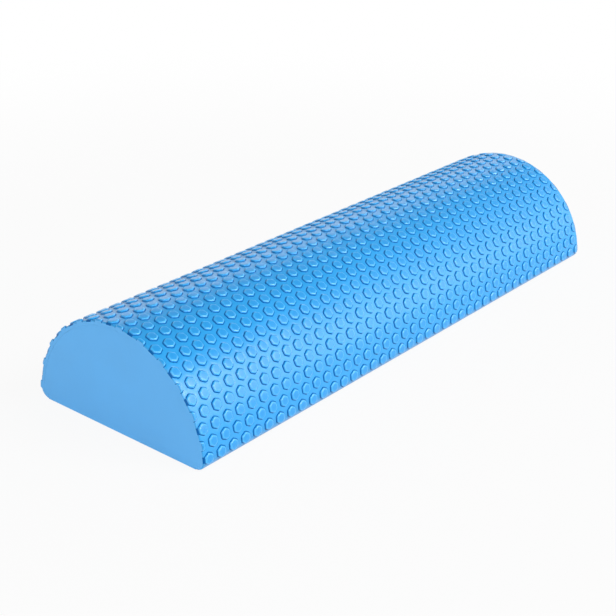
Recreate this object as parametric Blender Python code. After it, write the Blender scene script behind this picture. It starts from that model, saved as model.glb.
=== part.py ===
"""A half round exercise roller of closed-cell foam, faced with a studded foam sheet.

The roller lies on its flat side. X runs along its length, Y across it and Z up.
The origin is in the middle of its underside. All lengths are in metres.
"""

import math

import bmesh
import bpy

# Driving dimensions of the roller
ROLLER_LENGTH = 0.450
ROLLER_DIAMETER = 0.150  # of the full round it is half of, over the studs
SHEET_THICKNESS = 0.0030  # of the facing sheet, without its studs
BEND_RADIUS = 0.0040  # inside the bend where the sheet turns in under the roller
END_THICKNESS = 0.0040  # of the panel in each end
GLUE_GAP = 0.0003  # the glue line between any two pieces

# Driving dimensions of the studs
STUD_PITCH = 0.0108  # between the centres of neighbours, the same in all six directions
STUD_HEIGHT = 0.0011
FIRST_STUD_SETBACK = 0.0044  # from the left end to the centre of the first whole stud

# How fine the curves are
ROUND_STEPS = 48
BEND_STEPS = 6

CUTTER_OVERRUN = 0.010
SAME_POINT_SHARE = 1e-3  # of a stud's height: points closer than this are one point

GROUND_RADIUS = ROLLER_DIAMETER / 2 - STUD_HEIGHT  # of the facing between its studs
CORNER_RADIUS = BEND_RADIUS + SHEET_THICKNESS
HALF_LENGTH = ROLLER_LENGTH / 2
ROW_SPACING = STUD_PITCH * math.sqrt(3) / 2
CELL_RADIUS = STUD_PITCH / math.sqrt(3)  # from a stud's centre to its cell's six corners
SAME_POINT = STUD_HEIGHT * SAME_POINT_SHARE


def corner_centre(radius, floor, corner):
    """How far from the middle the centre of the lower corner's arc lies."""
    return math.sqrt((radius - corner) ** 2 - (floor + corner) ** 2)


def half_round_outline(radius, floor, corner):
    """The half round section as (y, z) points, from its front foot over the crown to its back foot.

    Its round part is centred on the origin, and it is cut flat at the height of the floor.
    """
    across = corner_centre(radius, floor, corner)
    lowest = math.atan2(floor + corner, across)
    bend_turn = math.pi / 2 + lowest
    back = []
    for step in range(BEND_STEPS):
        angle = -math.pi / 2 + bend_turn * step / BEND_STEPS
        back.append((across + corner * math.cos(angle), floor + corner + corner * math.sin(angle)))
    crown = []
    for step in range(ROUND_STEPS + 1):
        angle = lowest + (math.pi - 2 * lowest) * step / ROUND_STEPS
        crown.append((-radius * math.cos(angle), radius * math.sin(angle)))
    front = [(-y, z) for y, z in back]
    return front + crown + back[::-1]


def outline_inside(depth):
    """The section's outline at a depth under the facing's plain surface."""
    return half_round_outline(GROUND_RADIUS - depth, depth, CORNER_RADIUS - depth)


def foot_width():
    """Half the width between the wrap's turned-in edges, where its bends meet the floor."""
    return corner_centre(GROUND_RADIUS, 0, CORNER_RADIUS)


def foam_material(name, colour, roughness):
    material = bpy.data.materials.new(name)
    material.use_nodes = True
    shader = material.node_tree.nodes["Principled BSDF"]
    shader.inputs["Base Color"].default_value = (*colour, 1)
    shader.inputs["Roughness"].default_value = roughness
    shader.inputs["Metallic"].default_value = 0
    material.diffuse_color = (*colour, 1)
    return material


def core_material():
    return foam_material("light_foam", (0.16, 0.45, 0.80), 0.90)


def facing_material():
    return foam_material("studded_foam", (0.06, 0.33, 0.83), 0.55)


def base_material():
    return foam_material("plain_foam", (0.08, 0.35, 0.82), 0.65)


def panel_material():
    return foam_material("smooth_foam", (0.12, 0.42, 0.83), 0.50)


def add_object(name, bm, material):
    """Makes the node of this name from the mesh, with its faces pointing out."""
    bmesh.ops.recalc_face_normals(bm, faces=bm.faces)
    mesh = bpy.data.meshes.new(name)
    bm.to_mesh(mesh)
    bm.free()
    mesh.materials.append(material)
    node = bpy.data.objects.new(name, mesh)
    bpy.context.scene.collection.objects.link(node)
    return node


def extruded(outline, start, end):
    """A solid with this (y, z) outline, from one x to another."""
    bm = bmesh.new()
    face = bm.faces.new([bm.verts.new((start, y, z)) for y, z in outline])
    swept = bmesh.ops.extrude_face_region(bm, geom=[face])
    moved = [item for item in swept["geom"] if isinstance(item, bmesh.types.BMVert)]
    bmesh.ops.translate(bm, verts=moved, vec=(end - start, 0, 0))
    return bm


def bend_start():
    """The angle over the floor where the round part of the facing goes over into its bend."""
    return math.asin(CORNER_RADIUS / (GROUND_RADIUS - CORNER_RADIUS))


def round_reach():
    """How far the round part of the facing goes along the section, from the crown to a bend."""
    return GROUND_RADIUS * (math.pi / 2 - bend_start())


def facing_reach():
    """How far the facing goes along the section, from the crown to a foot."""
    return round_reach() + CORNER_RADIUS * (math.pi / 2 + bend_start())


def facing_spot(along, height):
    """The (y, z) of a spot on the facing: how far along the section from its crown, and how high over it."""
    side = math.copysign(1, along)
    past = abs(along) - round_reach()
    if past <= 0:
        angle = math.pi / 2 - abs(along) / GROUND_RADIUS
        out = GROUND_RADIUS + height
        return side * out * math.cos(angle), out * math.sin(angle)
    angle = bend_start() - past / CORNER_RADIUS
    out = CORNER_RADIUS + height
    return side * (foot_width() + out * math.cos(angle)), CORNER_RADIUS + out * math.sin(angle)


def stud_rows():
    """The rows as places along the section from the crown: all that are centred on the round part.

    A row whose cells would reach past the foot is left out.
    """
    farthest = min(round_reach(), facing_reach() - CELL_RADIUS)
    each_side = int(farthest / ROW_SPACING + 0.5)
    return [(row + 0.5) * ROW_SPACING for row in range(-each_side, each_side)]


def stud_centres(row_number):
    """The studs of a row along X, from one past the left end to one past the right end.

    Every second row lies half a pitch along from its neighbours.
    """
    stagger = STUD_PITCH / 2 * (row_number % 2)
    first = (FIRST_STUD_SETBACK + stagger) % STUD_PITCH - STUD_PITCH - HALF_LENGTH
    count = math.ceil((HALF_LENGTH - first) / STUD_PITCH) + 1
    return [first + STUD_PITCH * number for number in range(count)]


def add_stud_cell(bm, x, along):
    """One stud as a low six-sided point over its cell of the facing, which is laid out flat here."""
    tip = bm.verts.new((x, along, STUD_HEIGHT))
    rim = []
    for side in range(6):
        angle = math.radians(60 * side + 30)
        spot = (x + CELL_RADIUS * math.cos(angle), along + CELL_RADIUS * math.sin(angle), 0)
        rim.append(bm.verts.new(spot))
    for side in range(6):
        bm.faces.new((tip, rim[side], rim[(side + 1) % 6]))


def add_edge_fill(bm, x, along, outward):
    """The plain triangle between two studs of an outermost row, which makes the row's edge straight."""
    low = along + outward * CELL_RADIUS
    high = along + outward * CELL_RADIUS / 2
    spots = ((x, low), (x + STUD_PITCH / 2, high), (x + STUD_PITCH, low))
    bm.faces.new([bm.verts.new((spot_x, spot_along, 0)) for spot_x, spot_along in spots])


def flat_stud_field():
    """The studded field laid out flat, as (x, along, height), cut square at the roller's ends."""
    bm = bmesh.new()
    rows = stud_rows()
    for number, along in enumerate(rows):
        for x in stud_centres(number):
            add_stud_cell(bm, x, along)
            if along == rows[0]:
                add_edge_fill(bm, x, along, -1)
            if along == rows[-1]:
                add_edge_fill(bm, x, along, 1)
    bmesh.ops.remove_doubles(bm, verts=bm.verts, dist=SAME_POINT)
    for side in (-1, 1):
        everything = bm.verts[:] + bm.edges[:] + bm.faces[:]
        bmesh.ops.bisect_plane(
            bm, geom=everything, dist=SAME_POINT, plane_co=(side * HALF_LENGTH, 0, 0),
            plane_no=(side, 0, 0), clear_outer=True,
        )
    return bm


def add_plain_edges(bm):
    """The plain strips from the outermost rows round the bends to the section's feet."""
    rows = stud_rows()
    for side, row in ((-1, rows[0]), (1, rows[-1])):
        edge = row + side * CELL_RADIUS
        foot = side * facing_reach()
        line = [vert for vert in bm.verts if abs(vert.co.y - edge) < SAME_POINT]
        line.sort(key=lambda vert: vert.co.x)
        for step in range(1, BEND_STEPS + 1):
            along = edge + (foot - edge) * step / BEND_STEPS
            ends = [bm.verts.new((x, along, 0)) for x in (-HALF_LENGTH, HALF_LENGTH)]
            bm.faces.new(line + ends[::-1])
            line = ends


def studded_block():
    """The whole roller as one block: the studded facing round the section, closed at its ends and foot."""
    bm = flat_stud_field()
    add_plain_edges(bm)
    rims = []
    for end in (-HALF_LENGTH, HALF_LENGTH):
        rim = [vert for vert in bm.verts if abs(vert.co.x - end) < SAME_POINT]
        rims.append(sorted(rim, key=lambda vert: vert.co.y))
    for vert in bm.verts:
        y, z = facing_spot(vert.co.y, vert.co.z)
        vert.co = (vert.co.x, y, z)
    for rim in rims:
        bm.faces.new(rim)
    left, right = rims
    bm.faces.new((left[0], left[-1], right[-1], right[0]))
    return bm


def hollow_cutter():
    """What is taken out of the block to leave the wrap: its inside, run out past both ends and the floor."""
    below = [(foot_width(), -CUTTER_OVERRUN), (-foot_width(), -CUTTER_OVERRUN)]
    reach = HALF_LENGTH + CUTTER_OVERRUN
    hollow = extruded(outline_inside(SHEET_THICKNESS) + below, -reach, reach)
    cutter = add_object("wrap_cutter", hollow, core_material())
    cutter.hide_render = True
    cutter.display_type = "WIRE"
    return cutter


def make_studded_wrap():
    wrap = add_object("studded_wrap", studded_block(), facing_material())
    hollow = wrap.modifiers.new("hollow", "BOOLEAN")
    hollow.operation = "DIFFERENCE"
    hollow.object = hollow_cutter()


def core_reach():
    """How far the core and the base sheet go along X, up to the glue of the end panels."""
    return HALF_LENGTH - END_THICKNESS - GLUE_GAP


def make_foam_core():
    outline = outline_inside(SHEET_THICKNESS + GLUE_GAP)
    core = add_object("foam_core", extruded(outline, -core_reach(), core_reach()), core_material())
    smooth_round(core)


def make_base_sheet():
    edge = foot_width() - GLUE_GAP
    outline = [(-edge, 0), (edge, 0), (edge, SHEET_THICKNESS), (-edge, SHEET_THICKNESS)]
    add_object("base_sheet", extruded(outline, -core_reach(), core_reach()), base_material())


def end_panel_outline():
    """All of the wrap's opening: the arch over the bends, and the neck between its turned-in edges."""
    arch = outline_inside(SHEET_THICKNESS + GLUE_GAP)
    edge = foot_width() - GLUE_GAP
    shoulder = SHEET_THICKNESS + GLUE_GAP
    return [(-edge, 0), (-edge, shoulder)] + arch + [(edge, shoulder), (edge, 0)]


def make_end_panel(name, side):
    """An end panel, flush with the wrap's end. The side is -1 for the left end and 1 for the right."""
    inner = side * (HALF_LENGTH - END_THICKNESS)
    panel = add_object(name, extruded(end_panel_outline(), inner, side * HALF_LENGTH), panel_material())
    smooth_round(panel)


def smooth_round(node):
    """Shades the round side smooth, and leaves the edges sharp."""
    node.data.shade_smooth()
    node.data.set_sharp_from_angle(angle=math.radians(30))


def main():
    for old in list(bpy.data.objects):
        bpy.data.objects.remove(old)
    make_foam_core()
    make_studded_wrap()
    make_base_sheet()
    make_end_panel("end_panel_left", -1)
    make_end_panel("end_panel_right", 1)


main()
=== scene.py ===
# %% [markdown]
# # A half round foam roller
#
# The real roller is a half round block of light foam. A sheet of denser foam with raised studs is
# glued over its curved side and turned in under its long edges. A plain sheet closes the flat
# underside, and a smooth panel closes each end. Nothing on it moves.
#
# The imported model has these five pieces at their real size, as plain solids. This lesson dresses
# each of them: the six-sided studs, the soft edges, the seams and the skin of the foam. Everything
# is in metres, with X along the roller, Y across it and Z up.

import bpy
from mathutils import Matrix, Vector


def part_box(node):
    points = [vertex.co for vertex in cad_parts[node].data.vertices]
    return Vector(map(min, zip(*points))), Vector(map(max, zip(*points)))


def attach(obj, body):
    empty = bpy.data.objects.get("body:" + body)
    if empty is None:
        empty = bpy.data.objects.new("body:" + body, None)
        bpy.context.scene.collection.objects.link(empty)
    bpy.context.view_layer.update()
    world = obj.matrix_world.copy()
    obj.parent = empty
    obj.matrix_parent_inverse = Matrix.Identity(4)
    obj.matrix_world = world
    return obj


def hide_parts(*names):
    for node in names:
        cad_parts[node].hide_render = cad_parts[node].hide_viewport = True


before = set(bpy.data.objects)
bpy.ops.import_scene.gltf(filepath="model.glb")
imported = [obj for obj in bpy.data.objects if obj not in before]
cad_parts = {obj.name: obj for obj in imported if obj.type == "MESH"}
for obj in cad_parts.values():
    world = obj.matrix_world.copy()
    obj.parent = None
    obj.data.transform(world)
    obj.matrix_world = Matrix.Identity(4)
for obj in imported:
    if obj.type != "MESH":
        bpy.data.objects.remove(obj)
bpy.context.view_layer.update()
print("packed pieces:", ", ".join(sorted(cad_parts)))

# %% [markdown]
# ## Measure before making
#
# A maker who dresses a block measures the block first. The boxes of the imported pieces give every
# size of the section: the underside sheet gives the thickness of the foam sheet, the space over it
# is a glue line, and the crown of the core with both on top of it is the radius of the facing. The
# radius of the bend at the long edges follows from how far apart the turned-in edges are.

# %% Measure the section
import math

MM = 0.001

core_low, core_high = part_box("foam_core")
base_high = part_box("base_sheet")[1]
panel_low, panel_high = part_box("end_panel_left")

half_length = -panel_low.x
sheet_thickness = base_high.z
glue_line = core_low.z - base_high.z
panel_thickness = panel_high.x - panel_low.x
facing_radius = core_high.z + glue_line + sheet_thickness
foot = base_high.y + glue_line
bend_radius = (facing_radius ** 2 - foot ** 2) / (2 * facing_radius)
print(f"facing radius {facing_radius / MM:.1f} mm, bend radius {bend_radius / MM:.1f} mm")
print(f"sheet {sheet_thickness / MM:.1f} mm, glue line {glue_line / MM:.1f} mm")

# %% [markdown]
# ## One rule for the curved side
#
# A flat sheet that is wrapped round a block keeps its lengths. So each spot of the sheet is given
# by how far it lies from the crown, measured along the section, and by its height over the skin.
# Up to the bend it lies on the big arc, and past that on the small arc of the bend, which ends at
# the foot. All that is drawn on the flat sheet is wrapped by this one rule.

# %% Wrap a flat sheet round the section
bend_start = math.asin(bend_radius / (facing_radius - bend_radius))
arc_reach = facing_radius * (math.pi / 2 - bend_start)
foot_reach = arc_reach + bend_radius * (math.pi / 2 + bend_start)


def wrapped(along, height):
    """The (y, z) of a spot: how far along the section from the crown, and how high over the skin."""
    side = math.copysign(1, along)
    past = abs(along) - arc_reach
    if past <= 0:
        turn = abs(along) / facing_radius
        out = facing_radius + height
        return side * out * math.sin(turn), out * math.cos(turn)
    turn = bend_start - past / bend_radius
    out = bend_radius + height
    return side * (foot + out * math.cos(turn)), bend_radius + out * math.sin(turn)


print(f"the sheet is {2 * foot_reach / MM:.0f} mm wide before it is wrapped")

# %% [markdown]
# ## The camera
#
# The camera comes early, because each piece is judged through it. It stands to the left of the
# roller and looks down on it by about 25 degrees. The long lens keeps the two long edges nearly
# parallel. It is turned by a degree, because the picture's horizon isn't quite level.

# %% Set up the camera
import bpy
from mathutils import Matrix, Vector

AZIMUTH = math.radians(-50.86)
ELEVATION = math.radians(24.64)
ROLL = math.radians(1.01)
DISTANCE = 966.5 * MM
AIM_ACROSS = -25.1 * MM  # how far the picture's middle is from the origin, across and up
AIM_UP = 7.5 * MM
LENS_MM = 75.57  # on the usual sensor, 36 mm wide


def add_camera():
    back = Vector((
        math.sin(AZIMUTH) * math.cos(ELEVATION),
        -math.cos(AZIMUTH) * math.cos(ELEVATION),
        math.sin(ELEVATION),
    ))
    level = back.to_track_quat("Z", "Y").to_matrix()
    turned = level @ Matrix.Rotation(ROLL, 3, "Z")
    data = bpy.data.cameras.new("camera")
    data.lens = LENS_MM
    camera = bpy.data.objects.new("camera", data)
    bpy.context.scene.collection.objects.link(camera)
    place = back * DISTANCE + turned.col[0] * AIM_ACROSS + turned.col[1] * AIM_UP
    camera.matrix_world = Matrix.Translation(place) @ turned.to_4x4()
    bpy.context.scene.camera = camera
    return camera


camera = add_camera()
print("camera at", [round(value, 3) for value in camera.matrix_world.translation])

# %% [markdown]
# ## The shape of one stud
#
# The studs are pressed into the warm sheet by an engraved plate. Each is a low hexagon with round
# corners, steep sides and a soft rim, and the plate pinches a fine groove round its foot. The tops
# dish a little as the foam cools.
#
# A stud could be a prism joined to the sheet, but then the sheet would need a Boolean for each of
# the thousand studs. It is simpler to draw one cell of the honeycomb: a hexagon of sheet with rings
# of points that go in to the middle and up over the rim. Neighbouring cells share their corners, so
# the cells become one sheet when those points are merged.

# %% Draw one cell with its stud
STUD_PITCH = 10.8 * MM  # between neighbours, in all six directions
STUD_HEIGHT = 1.1 * MM
GROOVE_DEPTH = 0.35 * MM
TOP_DISH = 0.18 * MM

# Each ring's reach to its flat sides, the radius of its corners and its height over the skin
STUD_RINGS = (
    (4.00 * MM, 1.5 * MM, 0.00 * MM),
    (3.65 * MM, 1.2 * MM, -GROOVE_DEPTH),
    (3.42 * MM, 1.1 * MM, 0.35 * MM),
    (2.98 * MM, 1.1 * MM, 0.95 * MM),
    (2.50 * MM, 1.5 * MM, STUD_HEIGHT),
)
CORNERS = 6  # of a cell, and of a stud
CORNER_TURN = 360 / CORNERS  # degrees from one corner to the next
RING_POINTS = 3 * CORNERS  # the middle and the two ends of each round corner

cell_radius = STUD_PITCH / math.sqrt(3)
row_spacing = STUD_PITCH * math.sqrt(3) / 2


def corner_point(number, reach, corner, height, step):
    """A point on one of a hexagon's round corners, this many degrees off the corner's middle."""
    turn = math.radians(CORNER_TURN / 2 + CORNER_TURN * number)
    out = turn + math.radians(step)
    middle = (reach - corner) / math.cos(math.radians(CORNER_TURN / 2))
    x = middle * math.cos(turn) + corner * math.cos(out)
    along = middle * math.sin(turn) + corner * math.sin(out)
    return x, along, height


def ring_points(reach, corner, height):
    """A ring of points round a hexagon: from each corner's middle along the side to the next one."""
    points = []
    for number in range(CORNERS):
        points.append(corner_point(number, reach, corner, height, 0))
        points.append(corner_point(number, reach, corner, height, CORNER_TURN / 2))
        points.append(corner_point(number + 1, reach, corner, height, -CORNER_TURN / 2))
    return points


def draw_cell():
    """One cell laid flat round its own middle: its points as (x, along, height), and its faces."""
    points = [corner_point(number, STUD_PITCH / 2, 0, 0, 0) for number in range(CORNERS)]
    for reach, corner, height in STUD_RINGS:
        points += ring_points(reach, corner, height)
    points.append((0, 0, STUD_HEIGHT - TOP_DISH))
    faces = []
    for side in range(CORNERS):
        inner = [CORNERS + (side * 3 + step) % RING_POINTS for step in range(4)]
        faces.append([side, (side + 1) % CORNERS] + inner[::-1])
    for ring in range(len(STUD_RINGS) - 1):
        first = CORNERS + ring * RING_POINTS
        for step in range(RING_POINTS):
            edge = [first + step, first + (step + 1) % RING_POINTS]
            faces.append(edge + [point + RING_POINTS for point in edge[::-1]])
    last = CORNERS + (len(STUD_RINGS) - 1) * RING_POINTS
    middle = len(points) - 1
    for step in range(RING_POINTS):
        faces.append([last + step, last + (step + 1) % RING_POINTS, middle])
    return points, faces


cell_points, cell_faces = draw_cell()
print(f"one cell has {len(cell_points)} points and {len(cell_faces)} faces")

# %% [markdown]
# ## The studded sheet, laid flat
#
# The rows run along the roller, and every second row is half a pitch along, so that each stud has
# six neighbours. The rows lie evenly about the crown. The sheet was cut to length through the
# pattern, so the rows are drawn past both ends and cut there, and some studs are cut through. The
# cut at the right end also pressed the studs beside it flatter.
#
# No two pressed studs are quite alike. Each one's height and the tilt of its top differ a little,
# by random numbers with a fixed seed, so that the lesson always makes the same roller.
#
# Each point also keeps its zone for the finish, which paints shade into the groove and on the wall and a
# highlight on the rim: 0 on the plain ground, 1 at the bottom of a groove, 2 on the wall, 3 on the rim, 4
# where the dish starts and 5 in its middle.

# %% Lay out the field of studs
import random

import bmesh

FIRST_STUD_SETBACK = 4.4 * MM  # from the left end to the middle of the first whole stud
HEIGHT_SPREAD_SHARE = 0.05
MOST_TILT = math.radians(1.5)
PRESSED_REACH = 6 * MM  # how far in from the right end the studs are pressed flatter
FLAT_SHARE = 0.3  # pressed lower than this share of its height, a stud has no rim left
SAME_POINT = 0.001 * MM
SEED = 7


def row_places():
    """The rows as places along the section from the crown, all that are centred on the big arc."""
    farthest = min(arc_reach, foot_reach - cell_radius)
    each_side = int(farthest / row_spacing + 0.5)
    return [(row + 0.5) * row_spacing for row in range(-each_side, each_side)]


def stud_places(row_number):
    """The places along X of a row's studs, from one past the left end to one past the right end."""
    stagger = STUD_PITCH / 2 * (row_number % 2)
    first = (FIRST_STUD_SETBACK + stagger) % STUD_PITCH - STUD_PITCH - half_length
    count = math.ceil((half_length - first) / STUD_PITCH) + 1
    return [first + STUD_PITCH * number for number in range(count)]


def edge_fill(x, along, outward):
    """The plain triangle between two cells of an outermost row, which makes its edge straight."""
    low = along + outward * cell_radius
    high = along + outward * cell_radius / 2
    return [(x, low, 0), (x + STUD_PITCH / 2, high, 0), (x + STUD_PITCH, low, 0)]


def height_left(x):
    """The share of its height that a stud keeps at this place along the roller."""
    return min(1, max(0, (half_length - x) / PRESSED_REACH))


def one_stud(x, along, dice):
    """The points of the cell at this place, with a little spread in its height and its tilt."""
    share = 1 - HEIGHT_SPREAD_SHARE * dice.random()
    tilt_x, tilt_along = [MOST_TILT * (2 * dice.random() - 1) for axis in range(2)]
    points = []
    for across, up, height in cell_points:
        raised = height * share + tilt_x * across + tilt_along * up if height > 0 else height
        points.append((x + across, along + up, raised * height_left(x + across)))
    return points


def cell_zones(points):
    """The zone of each point of a cell: its ring's number, or the ground where it is pressed flat."""
    rings = [ring for ring in range(len(STUD_RINGS)) for point in range(RING_POINTS)]
    zones = [0] * CORNERS + rings + [len(STUD_RINGS)]
    return [zone if height_left(point[0]) > FLAT_SHARE else 0 for zone, point in zip(zones, points)]


def field_of_studs():
    """The whole field laid flat as one mesh, with straight long edges and ragged ends."""
    dice = random.Random(SEED)
    points, faces, zones = [], [], []
    rows = row_places()
    for number, along in enumerate(rows):
        for x in stud_places(number):
            faces += [[len(points) + corner for corner in face] for face in cell_faces]
            stud = one_stud(x, along, dice)
            points += stud
            zones += cell_zones(stud)
            for edge, outward in ((rows[0], -1), (rows[-1], 1)):
                if along == edge:
                    faces.append([len(points) + corner for corner in range(3)])
                    points += edge_fill(x, along, outward)
                    zones += [0, 0, 0]
    mesh = bpy.data.meshes.new("field")
    mesh.from_pydata(points, [], faces)
    mesh.attributes.new("zone", "FLOAT", "POINT").data.foreach_set("value", zones)
    bm = bmesh.new()
    bm.from_mesh(mesh)
    bpy.data.meshes.remove(mesh)
    bmesh.ops.remove_doubles(bm, verts=bm.verts, dist=SAME_POINT)
    return bm


sheet = field_of_studs()
print(f"{len(row_places())} rows, {len(sheet.verts)} points")

# %% [markdown]
# ## Cut it to length
#
# A knife leaves a sharp edge on foam, and handling soon rounds it. So each end is cut a little
# short, and its edge is drawn out again in two steps that fall away, like a bevel of two segments.
# The edge follows the studs that the knife went through.

# %% Cut the ends and soften their edges
END_LIP = 0.8 * MM
LIP_TURNS = (math.radians(45), math.radians(90))


def cut_end(bm, side):
    """Cuts the flat sheet at one end, and draws the cut edge out again as a soft lip."""
    place = side * (half_length - END_LIP)
    everything = bm.verts[:] + bm.edges[:] + bm.faces[:]
    bmesh.ops.bisect_plane(
        bm, geom=everything, dist=SAME_POINT, plane_co=(place, 0, 0),
        plane_no=(side, 0, 0), clear_outer=True,
    )
    edges = [
        edge for edge in bm.edges
        if all(abs(vert.co.x - place) < SAME_POINT for vert in edge.verts)
    ]
    out, down = 0, 0
    for turn in LIP_TURNS:
        grown = bmesh.ops.extrude_edge_only(bm, edges=edges)["geom"]
        edges = [item for item in grown if isinstance(item, bmesh.types.BMEdge)]
        next_out, next_down = END_LIP * math.sin(turn), END_LIP * (1 - math.cos(turn))
        for item in grown:
            if isinstance(item, bmesh.types.BMVert):
                item.co.x += side * (next_out - out)
                item.co.z -= next_down - down
        out, down = next_out, next_down


cut_end(sheet, -1)
cut_end(sheet, 1)
print(f"{len(sheet.faces)} faces after the cut")

# %% [markdown]
# ## Wrap it round and close it
#
# Outside the field the sheet is plain. It goes round the bend in even steps, down to the foot. The
# inside of the sheet is drawn at minus its thickness. A flat face closes each end and each foot,
# and then every point is wrapped by the one rule. So the facing is one closed body, as it would
# have to be if it were printed or weighed.

# %% Make the studded facing
PLAIN_STEPS = 8
INSIDE_STEPS = 96
FOOT_LIP = 0.3 * MM
SHARP_TURN = math.radians(50)  # edges that turn more than this stay sharp


def points_at(bm, axis, place):
    """The points of the flat sheet at one place on an axis, in order along the other one."""
    found = [vert for vert in bm.verts if abs(vert.co[axis] - place) < SAME_POINT]
    return sorted(found, key=lambda vert: vert.co[1 - axis])


def add_plain_edge(bm, side):
    """The plain strips from an outermost row round the bend to the foot."""
    edge = side * (row_places()[-1] + cell_radius)
    reach = side * (foot_reach - FOOT_LIP)
    places = [edge + (reach - edge) * step / PLAIN_STEPS for step in range(1, PLAIN_STEPS + 1)]
    line = points_at(bm, 1, edge)
    lips = len(LIP_TURNS)
    ends = [vert.co.copy() for vert in line[:lips + 1] + line[-lips - 1:]]
    for along, sunk in [(place, 0) for place in places] + [(side * foot_reach, FOOT_LIP)]:
        new = [bm.verts.new((spot.x, along, spot.z - sunk)) for spot in ends]
        for near in range(lips):
            bm.faces.new([line[near], line[near + 1], new[near + 1], new[near]])
            bm.faces.new([line[-near - 2], line[-near - 1], new[-near - 1], new[-near - 2]])
        bm.faces.new(line[lips:-lips] + [new[lips + 1], new[lips]])
        line = new


def close_sheet(bm):
    """Adds the inside of the sheet and the faces at its two ends and its two feet."""
    rims = [points_at(bm, 0, side * half_length) for side in (-1, 1)]
    feet = [points_at(bm, 1, side * foot_reach) for side in (-1, 1)]
    insides = []
    for x in (-half_length, half_length):
        turns = [2 * step / INSIDE_STEPS - 1 for step in range(INSIDE_STEPS + 1)]
        insides.append([bm.verts.new((x, foot_reach * turn, -sheet_thickness)) for turn in turns])
    left, right = insides
    for step in range(INSIDE_STEPS):
        bm.faces.new([left[step], left[step + 1], right[step + 1], right[step]])
    for rim, inside in zip(rims, insides):
        bm.faces.new(rim + inside[::-1])
    for line, end in zip(feet, (0, -1)):
        bm.faces.new(line + [right[end], left[end]])


def add_piece(name, bm):
    """Makes a piece from the mesh, with its faces pointing out and its curves shaded smooth."""
    bmesh.ops.recalc_face_normals(bm, faces=bm.faces)
    mesh = bpy.data.meshes.new(name)
    bm.to_mesh(mesh)
    bm.free()
    mesh.shade_smooth()
    mesh.set_sharp_from_angle(angle=SHARP_TURN)
    piece = bpy.data.objects.new(name, mesh)
    bpy.context.scene.collection.objects.link(piece)
    weighted = piece.modifiers.new("even_flats", "WEIGHTED_NORMAL")
    weighted.keep_sharp = True
    return piece


add_plain_edge(sheet, -1)
add_plain_edge(sheet, 1)
close_sheet(sheet)
for vert in sheet.verts:
    vert.co = (vert.co.x, *wrapped(vert.co.y, vert.co.z))
loose = [edge for edge in sheet.edges if len(edge.link_faces) != 2]
facing = add_piece("studded_facing", sheet)
triangles = sum(len(face.vertices) - 2 for face in facing.data.polygons)
print(f"facing: {triangles} triangles, {len(loose)} open edges")

# %% [markdown]
# ## Tools for the finishes
#
# A finish is a tree of nodes round a Principled shader. One small function adds a node, sets it and
# links it. Another turns a colour as it is picked on a screen into the linear light that the shader
# works with. Patterns are placed by the piece's own coordinates, which are in metres, so a scale is
# one over a real size.

# %% Add nodes and colours
FOAM_IOR = 1.5  # as of most soft plastics
SHEEN_ROUGHNESS = 0.4
SHEEN_TINT = "#D4E6FF"


def linear(picked):
    """A colour picked as sRGB hex, in linear light."""
    shares = [int(picked[spot:spot + 2], 16) / 255 for spot in (1, 3, 5)]
    return (*[s / 12.92 if s <= 0.04045 else ((s + 0.055) / 1.055) ** 2.4 for s in shares], 1)


def add_node(tree, kind, inputs=None, **settings):
    """Adds a node with its own settings. Each input gets a value, or a link from a socket."""
    node = tree.nodes.new(kind)
    for name, value in settings.items():
        setattr(node, name, value)
    for name, value in (inputs or {}).items():
        if isinstance(value, bpy.types.NodeSocket):
            tree.links.new(value, node.inputs[name])
        else:
            node.inputs[name].default_value = value
    return node


def new_finish(name, sheen):
    """A material with a Principled shader for a soft plastic."""
    material = bpy.data.materials.new(name)
    material.use_nodes = True
    shader = material.node_tree.nodes["Principled BSDF"]
    shader.inputs["IOR"].default_value = FOAM_IOR
    shader.inputs["Sheen Weight"].default_value = sheen
    shader.inputs["Sheen Roughness"].default_value = SHEEN_ROUGHNESS
    shader.inputs["Sheen Tint"].default_value = linear(SHEEN_TINT)
    return material, material.node_tree, shader


print("a mid blue in linear light:", [round(value, 3) for value in linear("#3FA6EE")])

# %% [markdown]
# ## How foam varies
#
# Foam is never quite even. Heat and pressure differ over the plate, which leaves a slow mottle in
# the colour and the gloss, here about 30 mm wide. The skin also shows the cells under it. The real
# ones are about 0.3 mm across, too fine to show, so the grain is drawn as coarse as each piece
# needs. The grain could be real bumps in the mesh, but at this size the light alone shows it.

# %% Mottle the colour and the gloss, and add the grain
HEAT_MOTTLE = 30 * MM
MOTTLE_DETAIL = 3.0
GLOSS_SPREAD = 0.05  # of the roughness, to either side


def vary(tree, shader, tint, unevenness, roughness, grain_size, grain_depth):
    """Links a mottled colour, a mottled roughness and a grain to the shader of a finish."""
    place = add_node(tree, "ShaderNodeTexCoord").outputs["Object"]
    heat = add_node(tree, "ShaderNodeTexNoise", {
        "Vector": place, "Scale": 1 / HEAT_MOTTLE, "Detail": MOTTLE_DETAIL,
    }).outputs["Fac"]
    light = add_node(tree, "ShaderNodeMapRange", {
        "Value": heat, "To Min": 1 - unevenness, "To Max": 1 + unevenness,
    }).outputs[0]
    colour = add_node(tree, "ShaderNodeHueSaturation", {"Color": tint, "Value": light})
    tree.links.new(colour.outputs["Color"], shader.inputs["Base Color"])
    gloss = add_node(tree, "ShaderNodeMapRange", {
        "Value": heat, "To Min": roughness - GLOSS_SPREAD, "To Max": roughness + GLOSS_SPREAD,
    })
    tree.links.new(gloss.outputs[0], shader.inputs["Roughness"])
    cells = add_node(tree, "ShaderNodeTexVoronoi", {"Vector": place, "Scale": 1 / grain_size})
    bump = add_node(tree, "ShaderNodeBump", {
        "Height": cells.outputs["Distance"], "Distance": grain_depth,
    })
    tree.links.new(bump.outputs["Normal"], shader.inputs["Normal"])


print(f"mottle {HEAT_MOTTLE / MM:.0f} mm wide")
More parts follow.
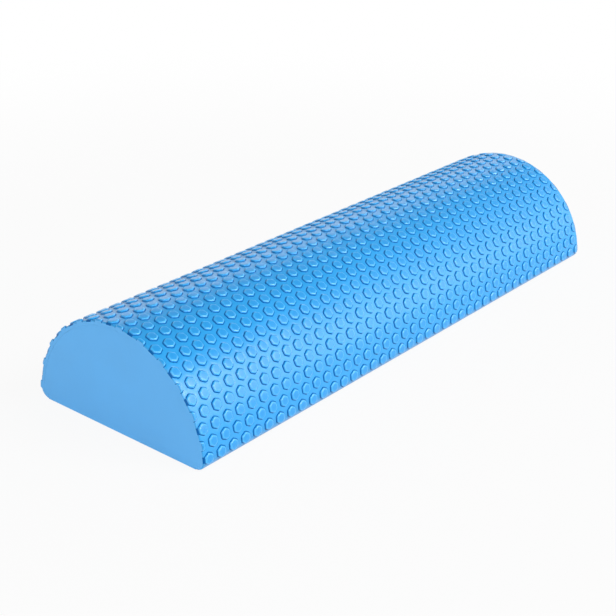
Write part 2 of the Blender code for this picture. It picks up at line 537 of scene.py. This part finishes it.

# %% [markdown]
# ## The pressed skin of the studded sheet
#
# The sheet is closed-cell EVA foam, blue all through. Its surface melted to a thin satin skin where
# the hot plate touched it. It is a soft plastic, so it has an IOR of 1.5 and a fairly high
# roughness.
#
# The groove round each stud and its wall are painted a deeper blue, as painted shade for the dark crease
# there, and the groove hardly shines. The rim is painted a paler blue, as a painted highlight, and it
# shines most. The zone that each point keeps picks the colour from a ramp, and the ramp's alpha is how
# much the skin shines there. The tops are also scuffed. Fine scuffs scatter light at a grazing angle,
# which a little sheen shows.

# %% Finish: pressed EVA foam skin
ZONE_LOOKS = (  # a zone, its colour and its shine, from the ground in to the middle of the dish
    (0.0, "#259CE0", 0.65),
    # the groove and the wall: painted shade, a deeper blue for the dark crease round each stud
    (0.9, "#0860A8", 0.1),
    (1.4, "#0860A8", 0.1),
    (2.0, "#1A88D2", 0.4),
    # the rim: a painted highlight, a paler blue
    (2.8, "#36B0F0", 1.0),
    (3.4, "#36B0F0", 1.0),
    (4.3, "#1D95DC", 0.6),
    (5.0, "#1C93DB", 0.6),
)
LAST_ZONE = ZONE_LOOKS[-1][0]
SCUFFED_ZONES = (2.3, 3.0)  # the scuffs set in between these
SCUFF_SHEEN = 0.27


def pressed_eva_skin():
    material, tree, shader = new_finish("pressed_eva_skin", sheen=0.0)
    zone = add_node(tree, "ShaderNodeAttribute", attribute_name="zone").outputs["Fac"]
    place = add_node(tree, "ShaderNodeMapRange", {"Value": zone, "From Max": LAST_ZONE}).outputs[0]
    ramp = add_node(tree, "ShaderNodeValToRGB", {"Fac": place})
    stops = ramp.color_ramp.elements
    while len(stops) < len(ZONE_LOOKS):
        stops.new(0.5)
    for stop, (spot, picked, shine) in zip(stops, ZONE_LOOKS):
        stop.position = spot / LAST_ZONE
        stop.color = (*linear(picked)[:3], shine)
    tree.links.new(ramp.outputs["Alpha"], shader.inputs["Specular IOR Level"])
    scuffs = add_node(tree, "ShaderNodeMapRange", {
        "Value": zone, "From Min": SCUFFED_ZONES[0], "From Max": SCUFFED_ZONES[1], "To Max": SCUFF_SHEEN,
    })
    tree.links.new(scuffs.outputs[0], shader.inputs["Sheen Weight"])
    vary(tree, shader, ramp.outputs["Color"], unevenness=0.05, roughness=0.31,
         grain_size=1.1 * MM, grain_depth=0.01 * MM)
    return material


facing.data.materials.append(pressed_eva_skin())
print("finish:", facing.data.materials[0].name)

# %% [markdown]
# ## The smooth skin of the ends
#
# The panels, the underside and the cut ends of the wrap have the same foam with a plain skin. Its blue is
# a little paler than the pressed skin's, partly as painted light that brightens the ends.

# %% Finish: smooth EVA foam skin
END_ON = 0.99  # a face whose normal has this much of X in it is part of a cut end


def smooth_eva_skin():
    material, tree, shader = new_finish("smooth_eva_skin", sheen=0.1)
    # a paler blue, partly painted light that brightens the ends
    vary(tree, shader, linear("#5CB2F2"), unevenness=0.05, roughness=0.5,
         grain_size=0.9 * MM, grain_depth=0.006 * MM)
    return material


smooth_skin = smooth_eva_skin()
facing.data.materials.append(smooth_skin)
cut_faces = [face for face in facing.data.polygons if abs(face.normal.x) > END_ON]
for face in cut_faces:
    face.material_index = 1
print(f"{len(cut_faces)} faces of the facing have the smooth skin")

# %% [markdown]
# ## Hand each piece over
#
# Each dressed piece rides on the one body of the imported model and stands for its imported solid. All of
# them are firm foam.


def declare(piece, slot, *nodes):
    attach(piece, "root")
    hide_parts(*nodes)


declare(facing, "studded_foam", "studded_wrap")
print("declared", facing.name)

# %% [markdown]
# ## The end panels
#
# Each end is closed by a smooth panel, cut to the inside of the wrap and glued in flush. Only a
# hairline shows between them. The panel reaches down to the floor between the two feet.

# %% Make the end panels
HAIRLINE = 0.05 * MM
PANEL_LIP = 0.15 * MM
ARC_STEPS = 72
BEND_STEPS = 10
BEVEL_STEPS = 3
BEVEL_TURN = math.radians(40)  # edges that turn more than this are rounded


def arch(depth):
    """The section at a depth under the skin, as (y, z) from one foot over to the other."""
    bend = [arc_reach + (foot_reach - arc_reach) * step / BEND_STEPS for step in range(1, BEND_STEPS + 1)]
    arc = [arc_reach * (2 * step / ARC_STEPS - 1) for step in range(ARC_STEPS + 1)]
    places = [-place for place in reversed(bend)] + arc + bend
    return [wrapped(place, -depth) for place in places]


def panel_outline():
    """The section of the hollow inside the wrap, with a hairline left all round."""
    top = arch(sheet_thickness + HAIRLINE)
    edge = foot - HAIRLINE
    shoulder = top[0][1]
    return [(-edge, 0), (-edge, shoulder)] + top + [(edge, shoulder), (edge, 0)]


def slab(outline, start, end):
    """A solid with this (y, z) outline from one x to another."""
    bm = bmesh.new()
    face = bm.faces.new([bm.verts.new((start, y, z)) for y, z in outline])
    swept = bmesh.ops.extrude_face_region(bm, geom=[face])["geom"]
    moved = [item for item in swept if isinstance(item, bmesh.types.BMVert)]
    bmesh.ops.translate(bm, verts=moved, vec=(end - start, 0, 0))
    return bm


def soften(piece, width):
    """Rounds the edges of a piece, before its normals are evened."""
    bevel = piece.modifiers.new("soft_edges", "BEVEL")
    bevel.width = width
    bevel.segments = BEVEL_STEPS
    bevel.limit_method = "ANGLE"
    bevel.angle_limit = BEVEL_TURN
    piece.modifiers.move(1, 0)


for side, name in ((-1, "left"), (1, "right")):
    inner = side * (half_length - panel_thickness)
    panel = add_piece(f"end_face_{name}", slab(panel_outline(), inner, side * half_length))
    soften(panel, PANEL_LIP)
    panel.data.materials.append(smooth_skin)
    declare(panel, "smooth_foam", f"end_panel_{name}")
print("made both end panels")

# %% [markdown]
# ## The underside
#
# A plain sheet fills the flat side between the wrap's two feet and between the end panels. It is
# the face that the roller lies on.

# %% Make the underside
UNDERSIDE_LIP = 0.3 * MM

reach = base_high.x
width = foot - HAIRLINE
base_outline = [(-width, 0), (width, 0), (width, sheet_thickness), (-width, sheet_thickness)]
underside = add_piece("underside", slab(base_outline, -reach, reach))
soften(underside, UNDERSIDE_LIP)
underside.data.materials.append(smooth_skin)
declare(underside, "plain_foam", "base_sheet")
print(f"underside {2 * reach / MM:.0f} x {2 * width / MM:.0f} mm")

# %% [markdown]
# ## The core
#
# The half round block inside carries the load. It is a lighter foam with cells that can be seen, up
# to 2 mm across, and it was cut with a hot wire, which leaves it dull. Nobody sees it unless the
# roller is taken apart.

# %% Make the core
CORE_LIP = 0.5 * MM


def cut_foam():
    material, tree, shader = new_finish("cut_foam", sheen=0.1)
    vary(tree, shader, linear("#6FB2E6"), unevenness=0.08, roughness=0.8,
         grain_size=2 * MM, grain_depth=0.15 * MM)
    return material


core_outline = [
    (y, max(z, sheet_thickness + glue_line)) for y, z in arch(sheet_thickness + glue_line)
]
core = add_piece("core_block", slab(core_outline, -reach, reach))
soften(core, CORE_LIP)
core.data.materials.append(cut_foam())
declare(core, "core_foam", "foam_core")
print("made the core")

# %% [markdown]
# ## The floor
#
# The roller lies on a wide sheet of white paper. To the camera, and to rays off a gloss or through
# glass, the paper is mostly lit by itself, so that it is white as in a cut-out picture. Near the
# roller it keeps some of the real light, and with it the roller's soft shadow.

# %% Lay the paper
PAPER_REACH = 8.0
PAPER_DROP = 0.2 * MM  # under the roller, so that the two faces don't flicker
SHADOW_REACH = 0.30  # metres from the middle, as far as the glow is least
WHITE_REACH = 0.90  # from here on the paper is all glow
LEAST_GLOW = 0.92
PAPER_SHADES = (0.62, 0.66)  # greyer than real paper, so that it throws less light up
FIBRE_SIZE = 2 * MM  # about the length of a fibre in paper


def white_paper():
    material = bpy.data.materials.new("white_paper")
    material.use_nodes = True
    tree = material.node_tree
    tree.nodes.clear()
    place = add_node(tree, "ShaderNodeTexCoord").outputs["Object"]
    away = add_node(tree, "ShaderNodeVectorMath", {0: place}, operation="LENGTH").outputs["Value"]
    glow = add_node(tree, "ShaderNodeMapRange", {
        "Value": away, "From Min": SHADOW_REACH, "From Max": WHITE_REACH, "To Min": LEAST_GLOW,
    }, interpolation_type="SMOOTHSTEP").outputs[0]
    rays = add_node(tree, "ShaderNodeLightPath").outputs
    seen = rays["Is Camera Ray"]
    for kind in ("Is Glossy Ray", "Is Transmission Ray"):
        seen = add_node(tree, "ShaderNodeMath", {0: seen, 1: rays[kind]}, operation="MAXIMUM").outputs[0]
    share = add_node(tree, "ShaderNodeMath", {0: seen, 1: glow}, operation="MULTIPLY").outputs[0]
    fibres = add_node(tree, "ShaderNodeTexNoise", {"Vector": place, "Scale": 1 / FIBRE_SIZE})
    shade = add_node(tree, "ShaderNodeMapRange", {
        "Value": fibres.outputs["Fac"], "To Min": PAPER_SHADES[0], "To Max": PAPER_SHADES[1],
    }).outputs[0]
    paper = add_node(tree, "ShaderNodeBsdfDiffuse", {"Color": shade}).outputs[0]
    white = add_node(tree, "ShaderNodeEmission", {"Color": linear("#FFFFFF")}).outputs[0]
    mixed = add_node(tree, "ShaderNodeMixShader", {0: share, 1: paper, 2: white}).outputs[0]
    add_node(tree, "ShaderNodeOutputMaterial", {"Surface": mixed})
    return material


def lay_paper():
    corners = [(x, y, 0) for x, y in ((-1, -1), (1, -1), (1, 1), (-1, 1))]
    mesh = bpy.data.meshes.new("floor")
    mesh.from_pydata([Vector(corner) * PAPER_REACH for corner in corners], [], [range(4)])
    mesh.materials.append(white_paper())
    floor = bpy.data.objects.new("floor", mesh)
    floor.location.z = -PAPER_DROP
    bpy.context.scene.collection.objects.link(floor)
    return floor


lay_paper()
print(f"paper {2 * PAPER_REACH:.0f} m wide")

# %% [markdown]
# ## The light
#
# The key softbox stands in front of the roller and a little to its right, so the left side of each
# stud stays dark and the rim that faces the camera shines. A small softbox at the left glints on
# the cut edges. One behind the roller glides over its crown, a low one in front whitens the foot of
# the curved side, and a weak one at the left lights the near end. Each is set by its level, which
# is the brightness that it alone gives a white card facing it.
#
# The walls of the room are white, and stay white a little higher up in front. The ceiling is dim.
# The low part of the curved side mirrors the walls and the paper and looks pale, and the upper part
# mirrors the ceiling and keeps its deep blue.

# %% Add the softboxes and the room
SOFTBOX_DISTANCE = 3.0
SOFTBOXES = (  # name, degrees round from the front and up, width, height and level
    ("key", 20, 40, 1.8, 1.0, 0.64),
    ("edge", -60, 45, 0.5, 0.5, 0.12),
    ("back", 130, 22, 2.4, 1.0, 0.07),
    ("low", 40, 15, 2.0, 1.0, 0.11),
    ("side", -84, 6, 1.5, 1.0, 0.20),
)
CEILING_WAY = (0.0, 0.21, 0.98)  # up, and a little to the back
WHITE_UP_TO = math.radians(24)
DIM_FROM = math.radians(40)
DIM_CEILING = 0.2


def add_softbox(name, azimuth, elevation, width, height, level):
    """Adds an area light that faces the origin, as bright as its level asks."""
    turn, up = math.radians(azimuth), math.radians(elevation)
    back = Vector((math.sin(turn) * math.cos(up), -math.cos(turn) * math.cos(up), math.sin(up)))
    data = bpy.data.lights.new(f"{name}_softbox", "AREA")
    data.shape = "RECTANGLE"
    data.size, data.size_y = width, height
    data.energy = level * (math.pi * SOFTBOX_DISTANCE) ** 2
    light = bpy.data.objects.new(data.name, data)
    light.rotation_euler = back.to_track_quat("Z", "Y").to_euler()
    light.location = back * SOFTBOX_DISTANCE
    bpy.context.scene.collection.objects.link(light)


def add_room():
    world = bpy.data.worlds.new("room")
    world.use_nodes = True
    tree = world.node_tree
    tree.nodes.clear()
    way = add_node(tree, "ShaderNodeTexCoord").outputs["Generated"]
    up = add_node(tree, "ShaderNodeVectorMath", {0: way, 1: CEILING_WAY}, operation="DOT_PRODUCT")
    shade = add_node(tree, "ShaderNodeMapRange", {
        "Value": up.outputs["Value"], "From Min": math.sin(WHITE_UP_TO), "From Max": math.sin(DIM_FROM),
        "To Min": 1.0, "To Max": DIM_CEILING,
    }, interpolation_type="SMOOTHSTEP").outputs[0]
    room = add_node(tree, "ShaderNodeBackground", {"Color": shade}).outputs[0]
    add_node(tree, "ShaderNodeOutputWorld", {"Surface": room})
    bpy.context.scene.world = world


for softbox in SOFTBOXES:
    add_softbox(*softbox)
add_room()
print(len(SOFTBOXES), "softboxes and a room")

# %% [markdown]
# ## A plain view
#
# The view is plain, so that colours show as they are. The size of the dressed roller is written
# next to that of the imported one: they must agree, but for a little in the tops of the studs.

bpy.context.scene.view_settings.view_transform = "Standard"
